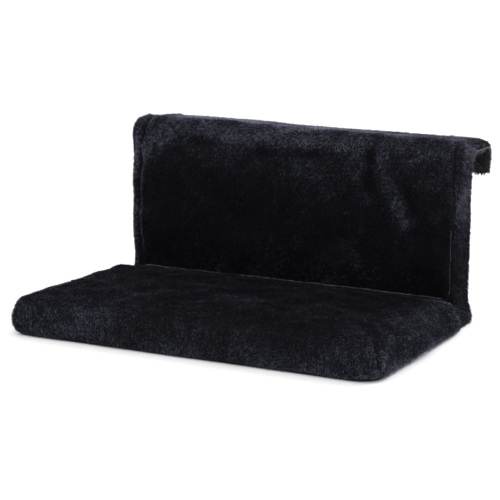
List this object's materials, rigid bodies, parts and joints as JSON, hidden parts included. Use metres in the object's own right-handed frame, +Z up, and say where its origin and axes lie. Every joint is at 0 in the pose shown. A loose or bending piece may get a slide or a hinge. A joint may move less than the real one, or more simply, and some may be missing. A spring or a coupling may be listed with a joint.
{
  "type": "cat radiator bed",
  "caption": "Plush-covered cat bed for a radiator: a flat padded seat, an upright padded back and a full-width hook along the top, on a hidden steel frame.",
  "frame": {"origin": "middle of the overall box in X and Y, at the level of the underside", "axes": "+X to the right seen from the front, +Y towards the radiator, +Z up"},
  "size_m": [0.46, 0.375, 0.2244],
  "materials": {
    "plush": "matte short-pile plush",
    "inner_plush": "matte long-pile plush",
    "lining": "plain woven",
    "steel": "satin powder coat",
    "zinc": "zinc plated",
    "hardboard": "smooth hardboard",
    "foam": "open-cell foam",
    "zip_tape": "woven polyester tape",
    "nylon": "moulded nylon"
  },
  "bodies": {
    "bed": {"seat_plush_cover": "plush", "back_plush_panel": "plush", "side_panel_left": "plush", "side_panel_right": "plush", "rear_lining_lower": "lining", "rear_lining_upper": "lining", "zip_end_patch_left": "lining", "zip_end_patch_right": "lining", "hook_inner_plush": "inner_plush", "base_lining": "lining", "seat_foam": "foam", "seat_board": "hardboard", "back_foam": "foam", "side_bracket_left": "steel", "side_bracket_right": "steel", "seat_front_bar": "steel", "seat_front_screw_left_1": "zinc", "seat_front_screw_left_2": "zinc", "seat_front_screw_right_1": "zinc", "seat_front_screw_right_2": "zinc", "seat_rear_bar": "steel", "seat_rear_screw_left_1": "zinc", "seat_rear_screw_left_2": "zinc", "seat_rear_screw_right_1": "zinc", "seat_rear_screw_right_2": "zinc", "back_lower_bar": "steel", "back_lower_screw_left_1": "zinc", "back_lower_screw_left_2": "zinc", "back_lower_screw_right_1": "zinc", "back_lower_screw_right_2": "zinc", "back_upper_bar": "steel", "back_upper_screw_left_1": "zinc", "back_upper_screw_left_2": "zinc", "back_upper_screw_right_1": "zinc", "back_upper_screw_right_2": "zinc", "hook_bar": "steel", "hook_screw_left_1": "zinc", "hook_screw_left_2": "zinc", "hook_screw_right_1": "zinc", "hook_screw_right_2": "zinc", "zip_tape_lower": "zip_tape", "zip_coil_lower": "nylon", "zip_tape_upper": "zip_tape", "zip_coil_upper": "nylon", "zip_stop_closed": "zinc", "zip_stop_open": "zinc"},
    "zip_slider": {"zip_slider": "nylon"},
    "zip_pull": {"zip_pull_tab": "nylon"}
  },
  "joints": [
    {"name": "zip_slide", "type": "slide", "parent": "bed", "child": "zip_slider", "axis": [1, 0, 0], "range_m": [0, 0.329]},
    {"name": "zip_pull_turn", "type": "hinge", "parent": "zip_slider", "child": "zip_pull", "pos_m": [-0.1645, 0.12205, 0.031], "axis": [0, 0, 1], "range_deg": [0, 180]}
  ]
}
